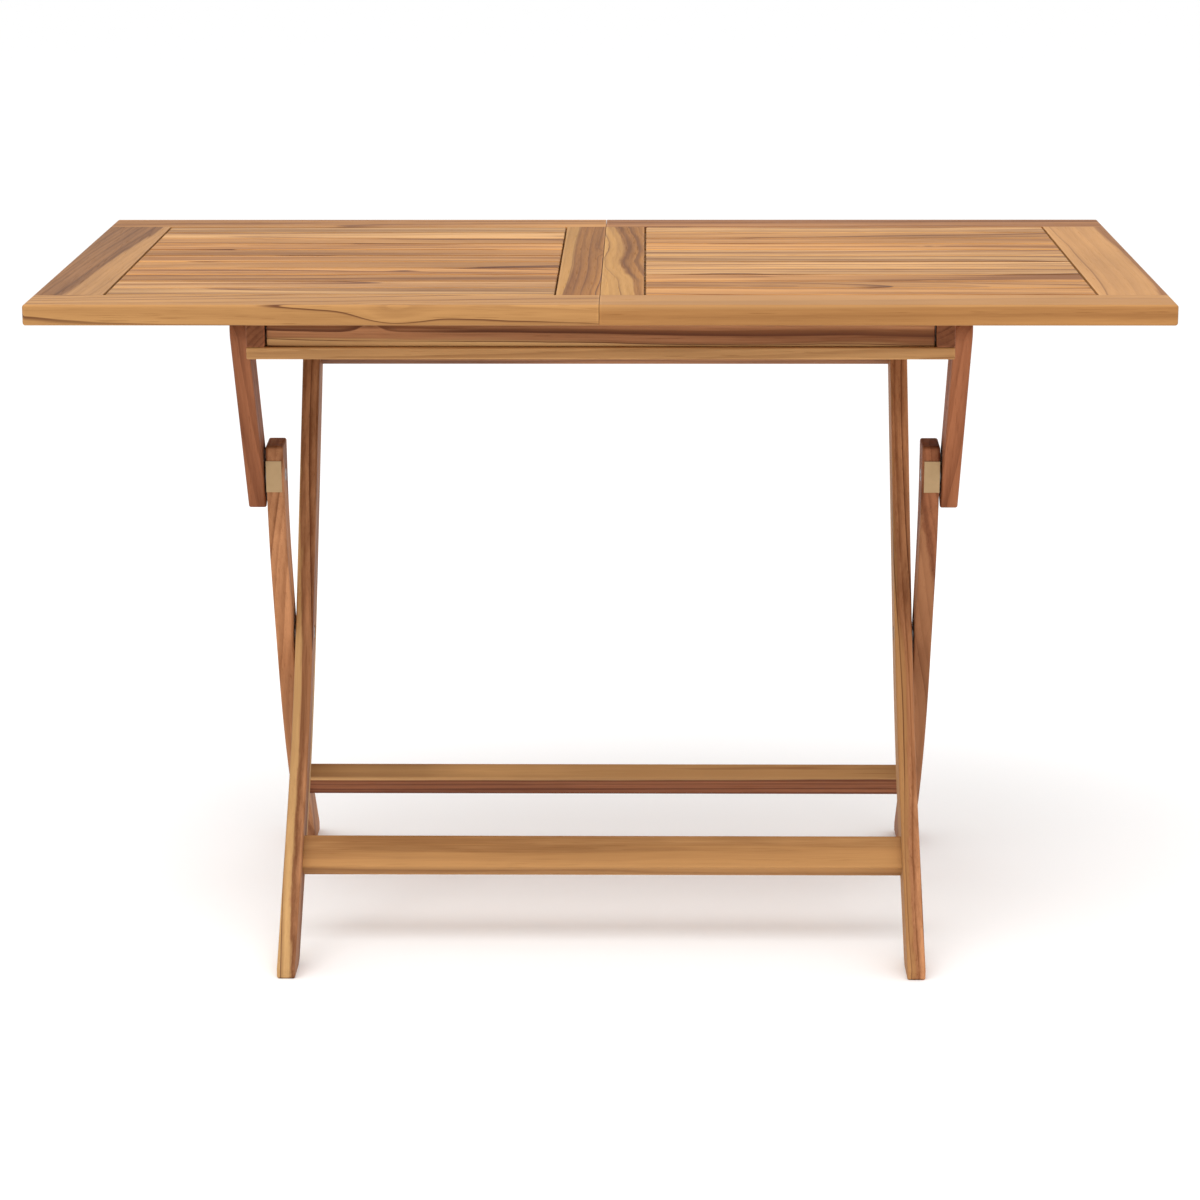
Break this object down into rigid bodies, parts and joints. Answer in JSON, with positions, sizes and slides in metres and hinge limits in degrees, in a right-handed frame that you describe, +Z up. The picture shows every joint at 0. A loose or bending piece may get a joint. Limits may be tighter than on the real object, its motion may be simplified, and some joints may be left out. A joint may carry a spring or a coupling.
{
  "type": "folding picnic table",
  "caption": "Folding teak garden table: slatted top in two fixed halves on a frame of rails, with crossed curved legs, side braces and stretchers that fold flat under it.",
  "frame": {"origin": "on the ground under the middle of the top", "axes": "+X along the table's length, +Y towards its back, +Z up; the front feet are at -Y"},
  "size_m": [1.2, 0.7, 0.75],
  "materials": {
    "teak_top": "oiled, satin",
    "teak_frame": "oiled, satin",
    "brass": "satin",
    "steel": "brushed"
  },
  "bodies": {
    "tabletop": {"left_front_rail": "teak_top", "left_back_rail": "teak_top", "right_front_rail": "teak_top", "right_back_rail": "teak_top", "left_end_stile": "teak_top", "right_end_stile": "teak_top", "left_middle_stile": "teak_top", "right_middle_stile": "teak_top", "left_slat_01": "teak_top", "left_slat_02": "teak_top", "left_slat_03": "teak_top", "left_slat_04": "teak_top", "left_slat_05": "teak_top", "left_slat_06": "teak_top", "left_slat_07": "teak_top", "left_slat_08": "teak_top", "left_slat_09": "teak_top", "left_slat_10": "teak_top", "left_slat_11": "teak_top", "right_slat_01": "teak_top", "right_slat_02": "teak_top", "right_slat_03": "teak_top", "right_slat_04": "teak_top", "right_slat_05": "teak_top", "right_slat_06": "teak_top", "right_slat_07": "teak_top", "right_slat_08": "teak_top", "right_slat_09": "teak_top", "right_slat_10": "teak_top", "right_slat_11": "teak_top", "left_cross_rail": "teak_frame", "right_cross_rail": "teak_frame", "front_apron": "teak_frame", "back_apron": "teak_frame", "front_lower_rail": "teak_frame", "back_lower_rail": "teak_frame", "centre_batten": "teak_frame", "underframe_screws": "steel", "rear_pivot_bolts": "steel", "front_pivot_bolts": "steel", "top_pivot_washers": "steel"},
    "front_legs": {"left_front_leg": "teak_frame", "right_front_leg": "teak_frame", "upper_stretcher": "teak_frame", "front_stretcher": "teak_frame", "front_leg_screws": "steel", "rear_pivot_bushes": "brass", "centre_pivot_bushes": "brass"},
    "rear_legs": {"left_rear_leg": "teak_frame", "right_rear_leg": "teak_frame", "rear_stretcher": "teak_frame", "rear_leg_screws": "steel", "centre_pivot_bolts": "steel", "leg_pivot_washers": "steel", "knuckle_bolts": "steel", "knuckle_plates": "brass"},
    "left_brace": {"left_brace": "teak_frame", "left_brace_bushes": "brass"},
    "right_brace": {"right_brace": "teak_frame", "right_brace_bushes": "brass"}
  },
  "joints": [
    {"name": "front_leg_fold", "type": "hinge", "parent": "tabletop", "child": "front_legs", "pos_m": [0, 0.2, 0.7], "axis": [-1, 0, 0], "range_deg": [0, 51.87]},
    {"name": "rear_leg_swing", "type": "hinge", "parent": "front_legs", "child": "rear_legs", "pos_m": [0, -0.002, 0.315], "axis": [1, 0, 0], "range_deg": [0, 100.32]},
    {"name": "left_brace_swing", "type": "hinge", "parent": "tabletop", "child": "left_brace", "pos_m": [-0.39, -0.196, 0.703], "axis": [-1, 0, 0], "range_deg": [0, 123.86]},
    {"name": "right_brace_swing", "type": "hinge", "parent": "tabletop", "child": "right_brace", "pos_m": [0.39, -0.196, 0.703], "axis": [-1, 0, 0], "range_deg": [0, 123.86]}
  ],
  "couplings": [
    {"joint": "rear_leg_swing", "follows": "front_leg_fold", "ratio": 1.9337},
    {"joint": "left_brace_swing", "follows": "front_leg_fold", "ratio": 2.3874},
    {"joint": "right_brace_swing", "follows": "front_leg_fold", "ratio": 2.3874}
  ]
}
